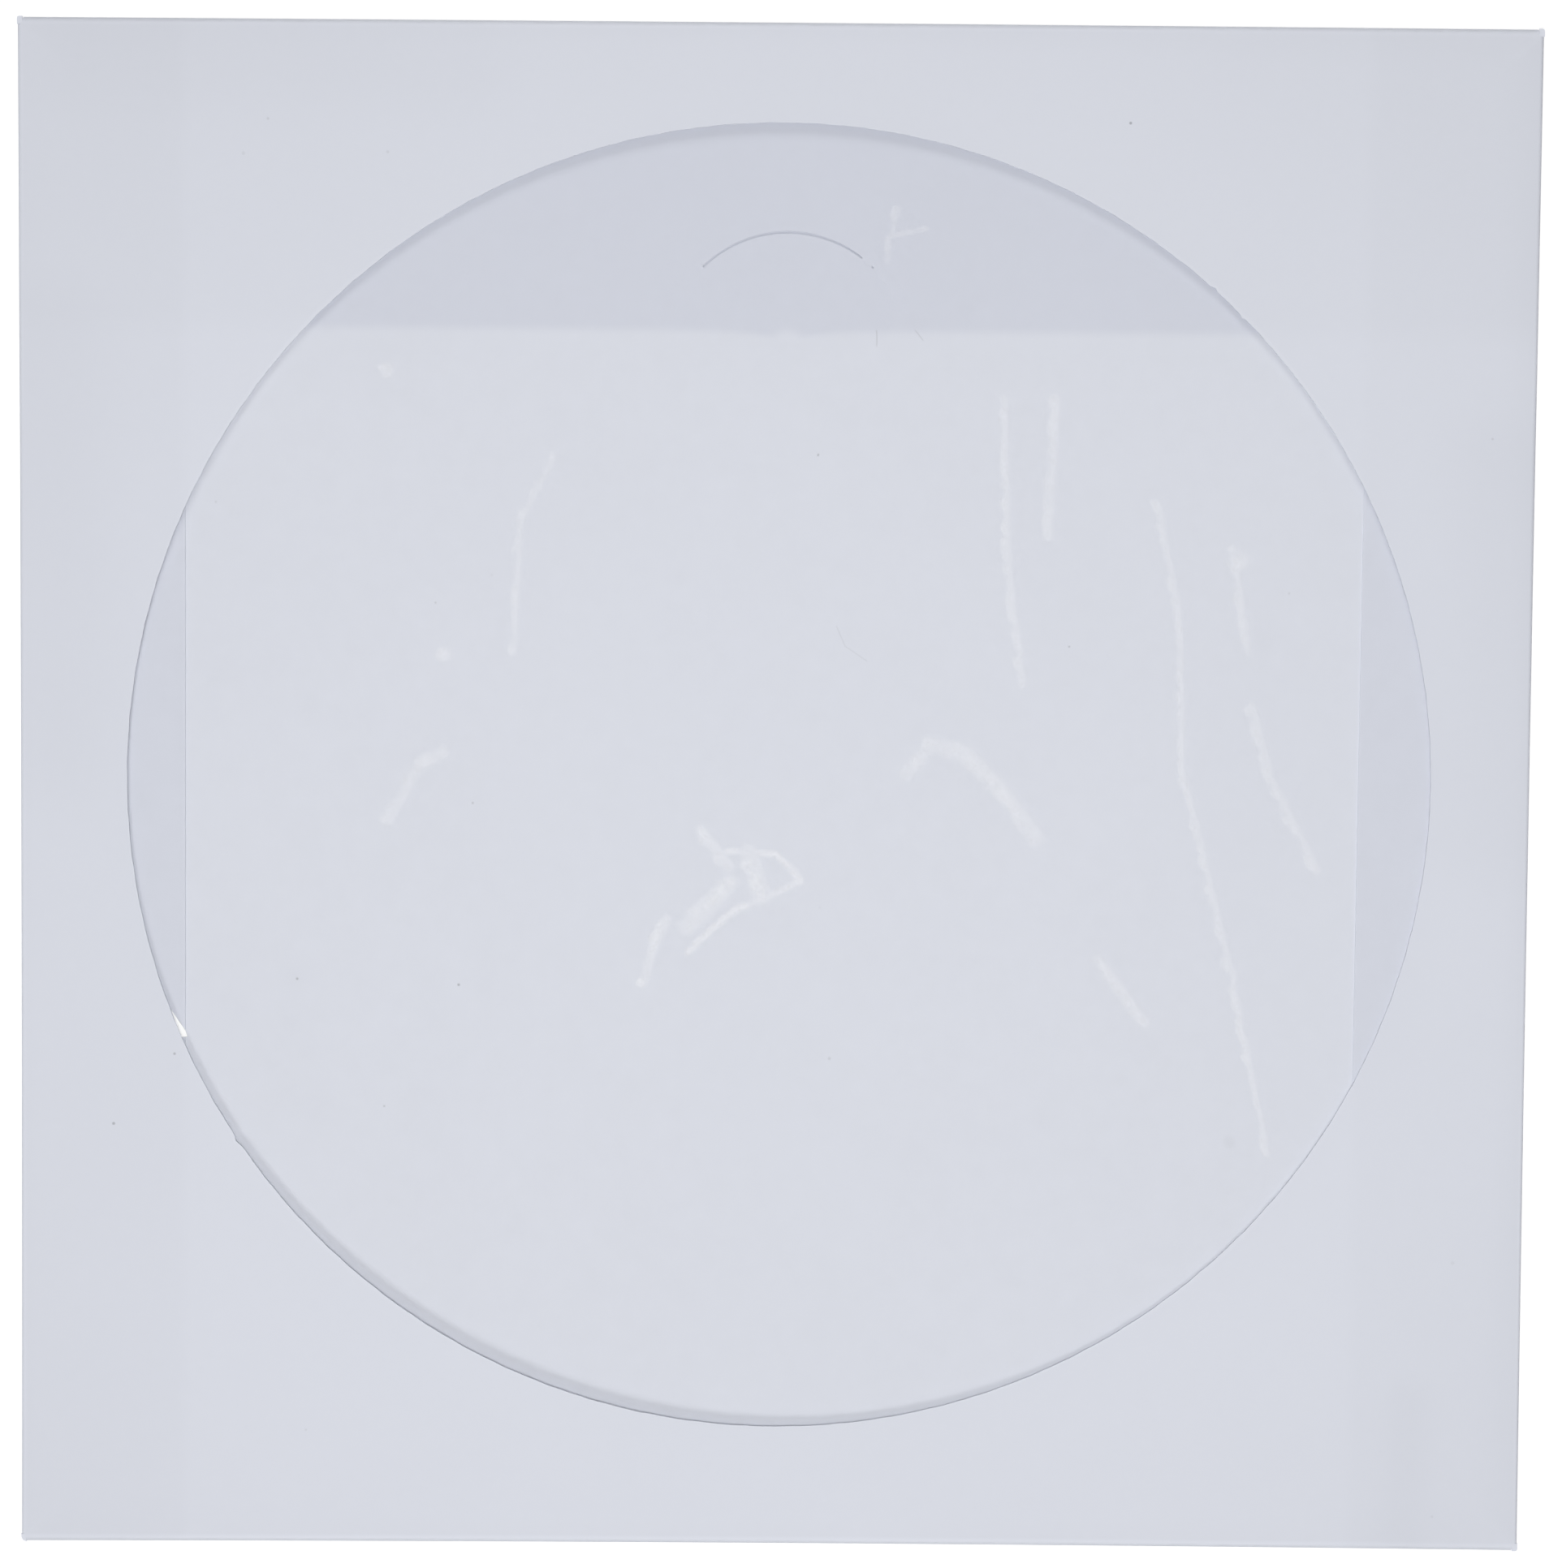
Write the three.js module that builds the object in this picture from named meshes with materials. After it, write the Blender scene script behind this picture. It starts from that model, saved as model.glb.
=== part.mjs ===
import * as THREE from 'three';
import { toCreasedNormals } from 'three/addons/utils/BufferGeometryUtils.js';

// A paper sleeve for one disc, with a round window of clear film, lying on its back.
// One die-cut sheet makes the whole sleeve. Its front panel, with the window, lies on top. The side flaps
// fold in behind it, the back panel folds up from the bottom edge and is glued to them, and the closing
// flap folds down behind the back panel. The film is a second sheet, glued to the inside of the front.
// Millimetres, +Z up through the window, +Y towards the closing flap, origin in the middle of the underside.

// Driving dimensions of the folded sleeve.
const sleeveWidth = 123.8;
const sleeveHeight = 125;
const cornerChamfer = 0.4;

// The window, and the paper left beside it. Its punch sat a little off the middle of the sleeve.
const windowMargin = 8.4;
const windowShift = new THREE.Vector2(0.3, 0.9);

// The sheets, the glue between them, and the room left for the disc.
const paperThickness = 0.12;
const filmThickness = 0.03;
const glueLine = 0.05;
const pocketDepth = 0.5;

// Closing flap: its length below the top fold, and how its sides and corners are drawn in.
const closingFlapLength = 24.8;
const closingFlapTaper = 8;
const closingFlapCorner = 9;

// Back panel: the throat left open above it, its taper and its corners.
const throatDepth = 4;
const backPanelTaper = 0.6;
const backPanelCorner = 3;

// Half-moon cut in the back panel, which frees a tab to tuck the closing flap's edge under.
const tabRadius = 9.85;
const tabShift = 0.7;
const tabBelowFlap = 1.9;

// Side flaps: their widths, how far the right one leans, and the slant of their two ends.
const leftFlapWidth = 13.4;
const rightFlapWidth = 14;
const rightFlapLean = 0.5;
const flapSlantTop = 10;
const flapSlantBottom = 6;
const sideFlapCorner = 2;

// Film patch: how far it reaches past the window's edge, and its corners.
const filmOverlap = 3;
const filmCorner = 2;

// Die cutting: the width of a cut, and the flat land that keeps each corner of the sleeve whole.
const cutWidth = 0.2;
const cornerLand = 1;

// How gently the layers climb over the closing flap's free edge, and how far short of the tab they end it.
const climbLength = 8;
const climbClearance = 1;

// Fineness of the facets.
const bendSteps = 10;
const climbSteps = 8;
const cornerSteps = 5;
const windowSides = 144;
const tabSides = 36;

// Distances, in millimetres, below which two points or a point and a line are the same.
const sameSpot = 1e-4;
const sameLine = 1e-9;

// Levels of the sheets' middles above the surface that the sleeve lies on.
const layerPitch = paperThickness + glueLine;
const backLevel = paperThickness / 2;
const sideFlapLevel = backLevel + layerPitch;
const highestSideFlapFace = sideFlapLevel + layerPitch + paperThickness / 2;
const filmUnderside = highestSideFlapFace + pocketDepth;
const frontLevel = filmUnderside + filmThickness + glueLine + paperThickness / 2;

// Each fold is a half turn. It starts where the front panel stops being flat.
const sideRadius = (frontLevel - sideFlapLevel) / 2;
const endRadius = (frontLevel - backLevel) / 2;
const sideStart = sleeveWidth / 2 - sideRadius - paperThickness / 2;
const endStart = sleeveHeight / 2 - endRadius - paperThickness / 2;

// The flaps stop short of the corner lands by the width of a cut.
const endHalfWidth = sleeveWidth / 2 - cornerLand - cutWidth;
const sideHalfHeight = sleeveHeight / 2 - cornerLand - cutWidth;

const windowRadius = Math.min(sleeveWidth, sleeveHeight) / 2 - windowMargin;
const tabHinge = sleeveHeight / 2 - closingFlapLength - tabBelowFlap;
const climbTop = tabHinge - climbClearance;
const climbFoot = climbTop - climbLength;

// The sheet laid flat.
// u runs across it and v up it, and on the front panel they are the folded sleeve's x and y.

// How far a point lies beyond a fold's start on the flat sheet, if it ends up `reach` inside the folded edge.
function beyondFold(radius, reach) {
  return Math.PI * radius + reach - radius - paperThickness / 2;
}

// A closed outline through `corners`, each [u, v] or [u, v, radius] for a rounded one.
function roundedOutline(corners) {
  const points = [];
  corners.forEach(([u, v, radius = 0], i) => {
    const corner = new THREE.Vector2(u, v);
    if (radius === 0) {
      points.push(corner);
      return;
    }
    const before = new THREE.Vector2(...corners.at(i - 1)).sub(corner).normalize();
    const after = new THREE.Vector2(...corners[(i + 1) % corners.length]).sub(corner).normalize();
    const halfAngle = before.angleTo(after) / 2;
    const run = radius / Math.tan(halfAngle);
    const centre = before.clone().add(after).setLength(radius / Math.sin(halfAngle)).add(corner);
    const from = before.multiplyScalar(run).add(corner).sub(centre);
    const to = after.multiplyScalar(run).add(corner).sub(centre);
    const turn = Math.atan2(from.cross(to), from.dot(to));
    for (let step = 0; step <= cornerSteps; step++) {
      const origin = new THREE.Vector2();
      points.push(from.clone().rotateAround(origin, (turn * step) / cornerSteps).add(centre));
    }
  });
  return points;
}

// Points along an arc about `centre`, from one angle to another.
function arcPoints(centre, radius, from, to, sides) {
  const arc = new THREE.EllipseCurve(centre.x, centre.y, radius, radius, from, to, to < from);
  return arc.getPoints(sides);
}

// Front panel, with its four corner lands and the round window.
function frontPanel() {
  const landU = sleeveWidth / 2 - cornerLand;
  const landV = sleeveHeight / 2 - cornerLand;
  const quarter = [
    [sideStart, sideHalfHeight],
    [sideStart, landV],
    [sleeveWidth / 2, landV],
    [sleeveWidth / 2, sleeveHeight / 2 - cornerChamfer],
    [sleeveWidth / 2 - cornerChamfer, sleeveHeight / 2],
    [landU, sleeveHeight / 2],
    [landU, endStart],
    [endHalfWidth, endStart],
  ];
  const mirrored = (su, sv) => quarter.map(([u, v]) => [su * u, sv * v]);
  const outline = [
    ...mirrored(1, 1),
    ...mirrored(-1, 1).reverse(),
    ...mirrored(-1, -1),
    ...mirrored(1, -1).reverse(),
  ];
  const window = arcPoints(windowShift, windowRadius, 0, 2 * Math.PI, windowSides).slice(1);
  return { outline: roundedOutline(outline), holes: [window] };
}

// The strip of paper that turns through half a circle at a side fold. `side` is 1 on the right, -1 on the left.
function sideBend(side) {
  const near = side * sideStart;
  const far = side * (sideStart + Math.PI * sideRadius);
  return {
    outline: roundedOutline([
      [near, -sideHalfHeight],
      [far, -sideHalfHeight],
      [far, sideHalfHeight],
      [near, sideHalfHeight],
    ]),
  };
}

// A glue flap beyond its bend, with slanted ends. `lean` is how much wider it is at the bottom than the top.
function sideFlap(side, width, lean) {
  const near = side * (sideStart + Math.PI * sideRadius);
  const edgeAt = (reach) => side * (sideStart + beyondFold(sideRadius, reach));
  return {
    outline: roundedOutline([
      [near, -sideHalfHeight],
      [edgeAt(width + lean / 2), -sideHalfHeight + flapSlantBottom, sideFlapCorner],
      [edgeAt(width - lean / 2), sideHalfHeight - flapSlantTop, sideFlapCorner],
      [near, sideHalfHeight],
    ]),
  };
}

// The bend of an end fold. `side` is 1 at the top, -1 at the bottom.
function endBend(side) {
  const near = side * endStart;
  const far = side * (endStart + Math.PI * endRadius);
  return {
    outline: roundedOutline([
      [-endHalfWidth, near],
      [endHalfWidth, near],
      [endHalfWidth, far],
      [-endHalfWidth, far],
    ]),
  };
}

// Closing flap above the top fold, with its sides drawn in and its corners round.
function closingFlap() {
  const near = endStart + Math.PI * endRadius;
  const freeEdge = endStart + beyondFold(endRadius, closingFlapLength);
  const halfEdge = endHalfWidth - closingFlapTaper;
  return {
    outline: roundedOutline([
      [-endHalfWidth, near],
      [endHalfWidth, near],
      [halfEdge, freeEdge, closingFlapCorner],
      [-halfEdge, freeEdge, closingFlapCorner],
    ]),
  };
}

// Back panel below the bottom fold, with the half-moon cut. On the flat sheet it is upside down.
function backPanel() {
  const near = -endStart - Math.PI * endRadius;
  const flatV = (y) => -endStart - beyondFold(endRadius, y + sleeveHeight / 2);
  const throat = flatV(sleeveHeight / 2 - throatDepth);
  const halfEdge = endHalfWidth - backPanelTaper;
  const centre = new THREE.Vector2(tabShift, flatV(tabHinge));
  const cut = [
    ...arcPoints(centre, tabRadius + cutWidth / 2, 0, -Math.PI, tabSides),
    ...arcPoints(centre, tabRadius - cutWidth / 2, -Math.PI, 0, tabSides),
  ];
  return {
    outline: roundedOutline([
      [-endHalfWidth, near],
      [endHalfWidth, near],
      [halfEdge, throat, backPanelCorner],
      [-halfEdge, throat, backPanelCorner],
    ]),
    holes: [cut],
  };
}

// Folding. Each function takes a point of the flat sheet, and how far above the sheet's middle it lies
// on the outer (+) or inner (-) face, to its place in the folded sleeve.

// How far the layers have climbed at y, on their way over the closing flap's edge.
function climbAt(y) {
  return layerPitch * THREE.MathUtils.smoothstep(y, climbFoot, climbTop);
}

// A half turn about a fold, then back the other way. `climb` flattens the turn where layers lie behind it.
function turn(length, radius, offset, climb) {
  const angle = Math.min(length / radius, Math.PI);
  const straight = Math.max(length - Math.PI * radius, 0);
  return {
    advance: (radius + offset) * Math.sin(angle) - straight,
    height: (radius - climb / 2) * (Math.cos(angle) - 1) + offset * Math.cos(angle),
  };
}

function layFlat(u, v, offset) {
  return new THREE.Vector3(u, v, frontLevel + offset);
}

function foldSide(u, v, offset) {
  const { advance, height } = turn(Math.abs(u) - sideStart, sideRadius, offset, climbAt(v));
  return new THREE.Vector3(Math.sign(u) * (sideStart + advance), v, frontLevel + height);
}

function foldDown(u, v, offset) {
  const { advance, height } = turn(v - endStart, endRadius, offset, 0);
  return new THREE.Vector3(u, endStart + advance, frontLevel + height);
}

function foldUp(u, v, offset) {
  const { advance, height } = turn(-v - endStart, endRadius, offset, 0);
  const y = -endStart - advance;
  return new THREE.Vector3(u, y, frontLevel + height + climbAt(y));
}

// Evenly spaced values from one number to another, without the two ends.
function between(from, to, steps) {
  return Array.from({ length: steps - 1 }, (_, i) => from + ((to - from) * (i + 1)) / steps);
}

// The lines along which the flat sheet bends: round each fold, and up the climb.
const sideBendLines = between(sideStart, sideStart + Math.PI * sideRadius, bendSteps);
const endBendLines = between(endStart, endStart + Math.PI * endRadius, bendSteps);
const climbLines = [climbFoot, ...between(climbFoot, climbTop, climbSteps), climbTop];
const climbLinesOnBack = climbLines.map((y) => -endStart - beyondFold(endRadius, y + sleeveHeight / 2));

// Every area of the sheet, with the lines that cross it and the way it folds.
const areas = [
  { ...frontPanel(), fold: layFlat },
  { ...sideBend(1), fold: foldSide, linesAcrossU: sideBendLines, linesAcrossV: climbLines },
  { ...sideBend(-1), fold: foldSide, linesAcrossU: sideBendLines.map((u) => -u), linesAcrossV: climbLines },
  { ...sideFlap(1, rightFlapWidth, rightFlapLean), fold: foldSide, linesAcrossV: climbLines },
  { ...sideFlap(-1, leftFlapWidth, 0), fold: foldSide, linesAcrossV: climbLines },
  { ...endBend(1), fold: foldDown, linesAcrossV: endBendLines },
  { ...closingFlap(), fold: foldDown },
  { ...endBend(-1), fold: foldUp, linesAcrossV: endBendLines.map((v) => -v) },
  { ...backPanel(), fold: foldUp, linesAcrossV: climbLinesOnBack },
];

// Divides convex polygons along the line where their `axis` coordinate is `value`.
function divide(polygons, axis, value) {
  const halves = polygons.flatMap((polygon) =>
    [1, -1].map((side) => {
      const kept = [];
      polygon.forEach((from, i) => {
        const to = polygon[(i + 1) % polygon.length];
        const here = side * (from[axis] - value);
        const there = side * (to[axis] - value);
        if (here >= 0) kept.push(from);
        if (here * there < 0) {
          const crossing = from.clone().lerp(to, here / (here - there));
          crossing[axis] = value;
          kept.push(crossing);
        }
      });
      return kept;
    }),
  );
  return halves.filter((kept) => kept.length > 2);
}

// Counter-clockwise triangles of one area, with edges along every line that crosses it.
// An area without holes is convex, so it is divided whole.
function triangulate({ outline, holes = [], linesAcrossU = [], linesAcrossV = [] }) {
  const points = [outline, ...holes].flat();
  const faces = THREE.ShapeUtils.triangulateShape(outline, holes);
  let polygons = holes.length ? faces.map((face) => face.map((index) => points[index])) : [outline];
  for (const u of linesAcrossU) polygons = divide(polygons, 'x', u);
  for (const v of linesAcrossV) polygons = divide(polygons, 'y', v);
  return polygons.flatMap((polygon) => {
    const turned = THREE.ShapeUtils.isClockWise(polygon) ? polygon.toReversed() : polygon;
    return turned.slice(2).map((_, i) => [turned[0], turned[i + 1], turned[i + 2]]);
  });
}

// Divides a triangle at the corners of a neighbouring area that lie along its edges.
function divideAt(triangle, corners) {
  for (const i of [0, 1, 2]) {
    const [a, b, c] = [triangle[i], triangle[(i + 1) % 3], triangle[(i + 2) % 3]];
    const found = corners.find((corner) => {
      const along = [corner.distanceTo(a), corner.distanceTo(b)];
      return Math.min(...along) > sameSpot && along[0] + along[1] - a.distanceTo(b) < sameLine;
    });
    if (found) return [...divideAt([a, found, c], corners), ...divideAt([found, b, c], corners)];
  }
  return [triangle];
}

// The folded sheet as one closed body: its outer face, its inner face, and the cut edges between them.
function foldedSheet() {
  const climbCorners = climbLines.flatMap((v) => [
    new THREE.Vector2(sideStart, v),
    new THREE.Vector2(-sideStart, v),
  ]);
  const positions = [];
  const indices = [];
  const numbers = new Map();
  const numberOf = (point, fold) => {
    const key = `${point.x.toFixed(5)},${point.y.toFixed(5)}`;
    if (!numbers.has(key)) {
      numbers.set(key, 2 * numbers.size);
      positions.push(...fold(point.x, point.y, paperThickness / 2));
      positions.push(...fold(point.x, point.y, -paperThickness / 2));
    }
    return numbers.get(key);
  };
  const edges = new Map();
  for (const area of areas) {
    for (const triangle of triangulate(area).flatMap((t) => divideAt(t, climbCorners))) {
      const [a, b, c] = triangle.map((point) => numberOf(point, area.fold));
      indices.push(a, b, c, a + 1, c + 1, b + 1);
      for (const [from, to] of [[a, b], [b, c], [c, a]]) edges.set(`${from},${to}`, [from, to]);
    }
  }
  for (const [from, to] of edges.values()) {
    if (edges.has(`${to},${from}`)) continue;
    indices.push(to, from, from + 1, to, from + 1, to + 1);
  }
  const geometry = new THREE.BufferGeometry();
  geometry.setAttribute('position', new THREE.Float32BufferAttribute(positions, 3));
  geometry.setIndex(indices);
  return toCreasedNormals(geometry, Math.PI / 6);
}

// Sleeve: white paper of about 100 g for each square metre.
function paperSleeve() {
  const paper = new THREE.MeshStandardMaterial({ color: 0xf1f3f8, roughness: 0.85, metalness: 0 });
  const mesh = new THREE.Mesh(foldedSheet(), paper);
  mesh.name = 'paper_sleeve';
  return mesh;
}

// Film patch: clear and glossy, glued round the window on the inside of the front panel.
function windowFilm() {
  const half = windowRadius + filmOverlap;
  const outline = roundedOutline([
    [-half, -half, filmCorner],
    [half, -half, filmCorner],
    [half, half, filmCorner],
    [-half, half, filmCorner],
  ]);
  const geometry = new THREE.ExtrudeGeometry(new THREE.Shape(outline), {
    depth: filmThickness,
    bevelEnabled: false,
  });
  const film = new THREE.MeshStandardMaterial({
    color: 0xf7f9fc,
    roughness: 0.12,
    metalness: 0,
    transparent: true,
    opacity: 0.2,
  });
  const mesh = new THREE.Mesh(geometry, film);
  mesh.name = 'window_film';
  mesh.position.set(windowShift.x, windowShift.y, filmUnderside);
  return mesh;
}

const envelope = new THREE.Group();
envelope.add(paperSleeve(), windowFilm());

export default envelope;
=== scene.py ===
"""A paper disc sleeve with a round clear window, lying on a white table and seen from straight above.

The sleeve is one folded sheet and the film another. Both are worked out here in millimetres, around the
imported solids, and go into their meshes in metres. +Y is towards the closing flap, +Z up out of the window.
"""

import bpy
import numpy as np
from mathutils import Matrix, Vector


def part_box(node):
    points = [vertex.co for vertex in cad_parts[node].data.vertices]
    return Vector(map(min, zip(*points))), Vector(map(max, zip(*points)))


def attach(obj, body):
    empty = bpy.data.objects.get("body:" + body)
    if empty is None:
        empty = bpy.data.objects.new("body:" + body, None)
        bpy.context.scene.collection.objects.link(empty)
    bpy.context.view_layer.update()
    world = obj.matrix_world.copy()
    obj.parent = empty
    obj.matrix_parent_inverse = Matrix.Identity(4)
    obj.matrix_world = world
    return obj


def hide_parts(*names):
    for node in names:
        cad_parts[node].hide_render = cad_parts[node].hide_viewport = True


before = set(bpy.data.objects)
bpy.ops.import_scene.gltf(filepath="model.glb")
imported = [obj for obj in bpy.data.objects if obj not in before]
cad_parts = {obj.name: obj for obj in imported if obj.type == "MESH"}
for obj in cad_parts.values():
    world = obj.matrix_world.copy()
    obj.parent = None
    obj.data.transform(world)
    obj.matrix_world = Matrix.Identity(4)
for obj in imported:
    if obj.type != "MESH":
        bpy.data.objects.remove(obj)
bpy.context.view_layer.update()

MM = 0.001

# The sleeve's and the film's sizes, from the solids.
sleeve_low, sleeve_high = (np.array(corner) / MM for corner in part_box("paper_sleeve"))
film_low, film_high = (np.array(corner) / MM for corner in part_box("window_film"))
HALF_WIDTH = sleeve_high[0]
HALF_HEIGHT = sleeve_high[1]
FILM_CENTRE = (film_low[:2] + film_high[:2]) / 2
FILM_HALF = (film_high[0] - film_low[0]) / 2
FILM_OVERLAP = 3.0
WINDOW_RADIUS = FILM_HALF - FILM_OVERLAP

# The sheets.
PAPER = 0.12
FILM = 0.03
GLUE = 0.05
PITCH = PAPER + GLUE

# The flaps, as they lie on the folded sleeve.
CLOSING_FLAP = 24.8
CLOSING_TAPER = 8.0
CLOSING_CORNER = 9.0
THROAT = 4.0
BACK_TAPER = 0.6
BACK_CORNER = 3.0
LEFT_FLAP = 13.4
RIGHT_FLAP = 14.0
RIGHT_LEAN = 0.5
SLANT_TOP = 10.0
SLANT_BOTTOM = 6.0
SIDE_LAND = 0.65
END_LAND = 0.45
FLAP_EDGE = HALF_HEIGHT - CLOSING_FLAP

# The corners, by the signs of their x and y, and how much of each tip is worn off.
WORN_CORNERS = [(1, 1, 0.2), (-1, 1, 0.15), (-1, -1, 0.4), (1, -1, 0.15)]

# The half-moon cut, and the middle and half width, as angles, of the small bridge left uncut in it.
TAB_RADIUS = 9.85
TAB_CENTRE = np.array([0.7, FLAP_EDGE - 1.9])
BRIDGE = 0.86
BRIDGE_HALF = 0.045
# The cut's half width on the flat sheet, its least width as it lies, and where it has opened: width, angle, spread.
CUT_HALF = 0.03
CUT_LEAST = 0.08
CUT_OPENINGS = [(0.13, 1.5, 0.6), (0.05, 2.5, 0.4)]

# The punched window's edge: its waviness as depth, waves a radian and phase, and nicks as angle, depth and width.
WINDOW_WAVES = [(0.012, 91.0, 1.0), (0.010, 173.0, 2.0)]
WINDOW_NICKS = [(0.855, 0.16, 0.004), (0.795, -0.14, 0.004), (3.735, 0.18, 0.006)]

# Levels of the sheets' middles over the table, and where the layers climb over the closing flap.
LOWEST = PAPER / 2
CLIMB = (FLAP_EDGE - 10.9, FLAP_EDGE - 2.9)
FOLD_LEVEL_BOTTOM = 0.72
FOLD_LEVEL_TOP = sleeve_high[2] - PAPER / 2
# The window edge's level, and its swells: height, sharpness, and the direction in which they lie.
WINDOW_LEVEL = 0.55
SWELLS = [(0.50, 3.0, 0.0, 1.0), (0.40, 6.0, -0.42, -0.91), (-0.18, 12.0, 0.77, -0.64)]
# Small departures from flat: the burr at the window, cockling of the panels, and what presses on what.
BURR, BURR_REACH = 0.02, 0.5
FRONT_COCKLING = 0.012
BACK_COCKLING = 0.008
TAB_SINK = 0.06
SIDE_FLAP_SINK = 0.045
# How far the edges draw in: a share of the width at the sides, and mm at the bottom and the top.
SIDE_DRAW = 0.0014
BOTTOM_DRAW, TOP_DRAW = 0.19, 0.05

# How fine the sheets are: points along each fold, rows over a bend, rings round the window with their crowding
# towards it, and rows of the flaps, the film and the back panel's three parts.
STATIONS = 200
BEND_ROWS = 9
RINGS, CROWDING = 12, 1.8
CORNER_POINTS = 5
CLOSING_ROWS = 14
SIDE_ROWS = 8
FILM_POINTS = 121
BACK_ROWS, TAB_ROWS, THROAT_ROWS = 46, 30, 7
THROAT_ZONE = 6.0
# Round corners stop a little short of their full drop, so that the rows next to them keep some width.
CORNER_SHARE = 0.97


def smooth(low, high, x):
    """0 below low and 1 above high, with an S-shaped step between them."""
    t = np.clip((x - low) / (high - low), 0.0, 1.0)
    return t * t * (3.0 - 2.0 * t)


def climb(y):
    """How far the layers have climbed at y, on their way over the closing flap's edge."""
    return PITCH * smooth(*CLIMB, y)


def ripple(x, y, size):
    """Gentle cockling of the paper: a sum of ever shorter sine waves in directions spread by the golden angle."""
    waves, golden_angle, longest = 9, 2.39996, 46.0
    total = np.zeros(np.broadcast(x, y).shape)
    for n in range(waves):
        angle = golden_angle * n + 0.4
        length = longest / (1.0 + 0.55 * n)
        phase = 1.7 * n * n
        along = x * np.cos(angle) + y * np.sin(angle)
        total += np.sin(2.0 * np.pi * along / length + phase) / (1.0 + 0.5 * n)
    return size * total


def fold_level(y):
    """Level of the front panel at its folds: pressed flat at the bottom, springing open towards the top."""
    return FOLD_LEVEL_BOTTOM + (FOLD_LEVEL_TOP - FOLD_LEVEL_BOTTOM) * smooth(-40.0, 60.0, y)


def pillow(x, y):
    """Level of the film and of the window's edge: it rises at the top and lower left, and sinks at the lower right.

    Each swell is its height times e to the power of its sharpness times how far the point is short of the
    window's edge in the swell's direction, in window radii.
    """
    across = (x - FILM_CENTRE[0]) / WINDOW_RADIUS
    up = (y - FILM_CENTRE[1]) / WINDOW_RADIUS
    level = WINDOW_LEVEL
    for height, sharpness, along_x, along_y in SWELLS:
        level = level + height * np.exp(sharpness * (along_x * across + along_y * up - 1.0))
    return level


def front_level(x, y):
    """Level of the front panel's middle: the pillow at the window's edge, blended into the folds' level.

    The blend runs along each ray from the window's centre, out to a rounded square just inside the folds: its
    distance is the fourth-power mean of the ray's distances to the side and to the end.
    """
    offset_x, offset_y = x - FILM_CENTRE[0], y - FILM_CENTRE[1]
    radius = np.hypot(offset_x, offset_y) + 1e-9
    cos, sin = offset_x / radius, offset_y / radius
    limit_x = (HALF_WIDTH - np.sign(cos) * FILM_CENTRE[0]) / np.maximum(np.abs(cos), 1e-6)
    limit_y = (HALF_HEIGHT - np.sign(sin) * FILM_CENTRE[1]) / np.maximum(np.abs(sin), 1e-6)
    outer = (limit_x**-4 + limit_y**-4) ** -0.25 - 0.5
    share = smooth(0.0, 1.0, (radius - WINDOW_RADIUS) / (outer - WINDOW_RADIUS))
    edge_x = FILM_CENTRE[0] + cos * np.minimum(radius, WINDOW_RADIUS)
    edge_y = FILM_CENTRE[1] + sin * np.minimum(radius, WINDOW_RADIUS)
    at_edge = pillow(edge_x, edge_y)
    return at_edge + (fold_level(y) - at_edge) * share


def pinched(x, y):
    """The sleeve's outline between its corners: drawn in at the sides and the bottom, and out a little at the top.

    Both moves are parabolas, which are 0 at the corners.
    """
    across, up = x / HALF_WIDTH, y / HALF_HEIGHT
    moved_x = x * (1.0 - SIDE_DRAW * (1.0 - up**2))
    moved_y = y + np.where(up < 0.0, BOTTOM_DRAW, TOP_DRAW) * up**2 * (1.0 - across**2)
    return moved_x, moved_y


def grid_faces(rows, columns):
    """Quads of a grid of points numbered row by row."""
    index = np.arange(rows * columns).reshape(rows, columns)
    quads = [index[:-1, :-1], index[:-1, 1:], index[1:, 1:], index[1:, :-1]]
    return np.stack([q.ravel() for q in quads], axis=1)


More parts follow.
